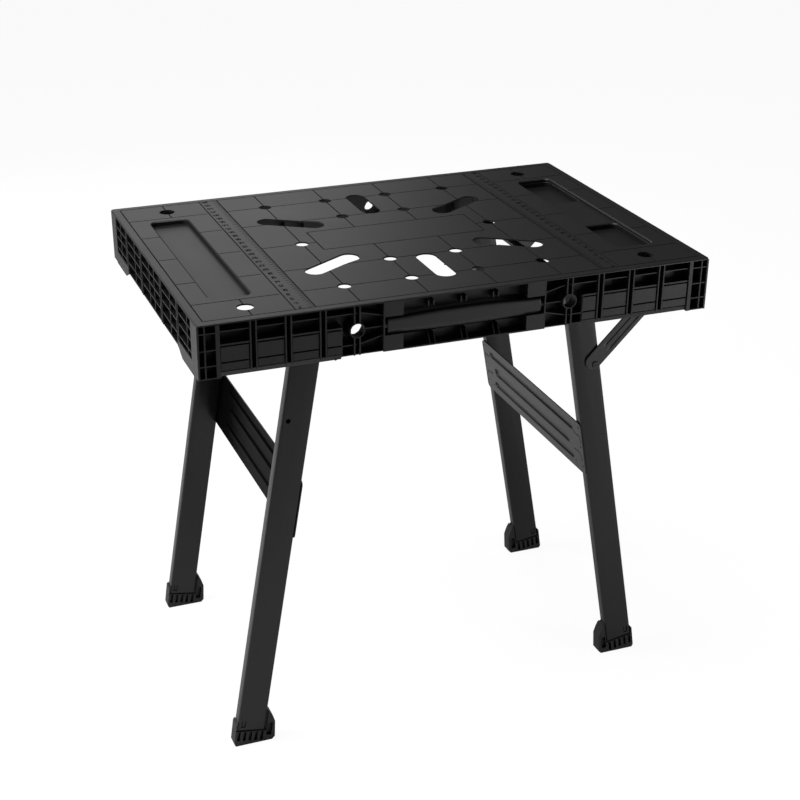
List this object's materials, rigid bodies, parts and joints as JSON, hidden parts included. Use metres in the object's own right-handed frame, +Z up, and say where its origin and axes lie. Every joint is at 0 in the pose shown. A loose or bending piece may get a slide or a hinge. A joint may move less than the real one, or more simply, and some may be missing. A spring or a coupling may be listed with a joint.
{
  "type": "folding workbench",
  "caption": "Portable folding workbench: ribbed black plastic top with dog holes, clamp slots, trays and a carrying bar, on steel leg pairs that slide and fold flat beneath it.",
  "frame": {"origin": "on the floor under the middle of the top", "axes": "+X along the top to the narrow leg pair, +Y to the rear, away from the carrying bar, +Z up"},
  "size_m": [0.85, 0.6, 0.78],
  "materials": {
    "black_plastic": "fine moulded grain",
    "grip_plastic": "smooth moulded",
    "slide_plastic": "smooth sliding plastic",
    "painted_steel": "satin powder coat",
    "pressed_steel": "satin paint on pressed sheet",
    "plain_steel": "plated",
    "foot_rubber": "moulded"
  },
  "bodies": {
    "top": {"deck": "black_plastic", "front_left_apron": "black_plastic", "front_right_apron": "black_plastic", "handle_recess": "black_plastic", "rear_apron": "black_plastic", "left_end_apron": "black_plastic", "right_end_apron": "black_plastic", "right_front_guide": "black_plastic", "right_rear_guide": "black_plastic", "left_front_guide": "black_plastic", "left_rear_guide": "black_plastic", "handle": "grip_plastic", "right_front_strut_bracket": "painted_steel", "right_rear_strut_bracket": "painted_steel", "left_rear_strut_bracket": "painted_steel", "right_front_strut_pin": "plain_steel", "right_rear_strut_pin": "plain_steel", "left_rear_strut_pin": "plain_steel"},
    "right_carriage": {"right_axle": "plain_steel", "right_front_bush": "slide_plastic", "right_rear_bush": "slide_plastic"},
    "right_legs": {"right_front_leg": "painted_steel", "right_rear_leg": "painted_steel", "right_brace": "pressed_steel", "right_front_foot": "foot_rubber", "right_rear_foot": "foot_rubber"},
    "right_struts": {"right_front_strut": "pressed_steel", "right_rear_strut": "pressed_steel", "right_front_strut_rivet": "plain_steel", "right_rear_strut_rivet": "plain_steel"},
    "left_carriage": {"left_front_pin": "plain_steel", "left_rear_pin": "plain_steel", "left_front_bush": "slide_plastic", "left_rear_bush": "slide_plastic"},
    "left_legs": {"left_front_leg": "painted_steel", "left_rear_leg": "painted_steel", "left_brace": "pressed_steel", "left_front_foot": "foot_rubber", "left_rear_foot": "foot_rubber"},
    "left_strut": {"left_rear_strut": "pressed_steel", "left_rear_strut_rivet": "plain_steel"}
  },
  "joints": [
    {"name": "right_leg_slide", "type": "slide", "parent": "top", "child": "right_carriage", "axis": [1, 0, 0], "range_m": [0, 0.12457]},
    {"name": "right_leg_fold", "type": "hinge", "parent": "right_carriage", "child": "right_legs", "pos_m": [0.23744, 0, 0.719], "axis": [0, 1, 0], "range_deg": [0, 99.65]},
    {"name": "right_strut_swing", "type": "hinge", "parent": "top", "child": "right_struts", "pos_m": [0.3895, 0, 0.7055], "axis": [0, 1, 0], "range_deg": [0, 47.06]},
    {"name": "left_leg_slide", "type": "slide", "parent": "top", "child": "left_carriage", "axis": [-1, 0, 0], "range_m": [0, 0.12457]},
    {"name": "left_leg_fold", "type": "hinge", "parent": "left_carriage", "child": "left_legs", "pos_m": [-0.23744, 0, 0.719], "axis": [0, -1, 0], "range_deg": [0, 99.65]},
    {"name": "left_strut_swing", "type": "hinge", "parent": "top", "child": "left_strut", "pos_m": [-0.3895, 0, 0.7055], "axis": [0, -1, 0], "range_deg": [0, 47.06]}
  ],
  "couplings": [
    {"joint": "right_leg_slide", "follows": "right_leg_fold", "m_per_rad": 0.071626},
    {"joint": "right_strut_swing", "follows": "right_leg_fold", "ratio": 0.47227},
    {"joint": "left_leg_slide", "follows": "right_leg_fold", "m_per_rad": 0.071626},
    {"joint": "left_strut_swing", "follows": "right_leg_fold", "ratio": 0.47227},
    {"joint": "left_leg_fold", "follows": "right_leg_fold", "ratio": 1}
  ]
}
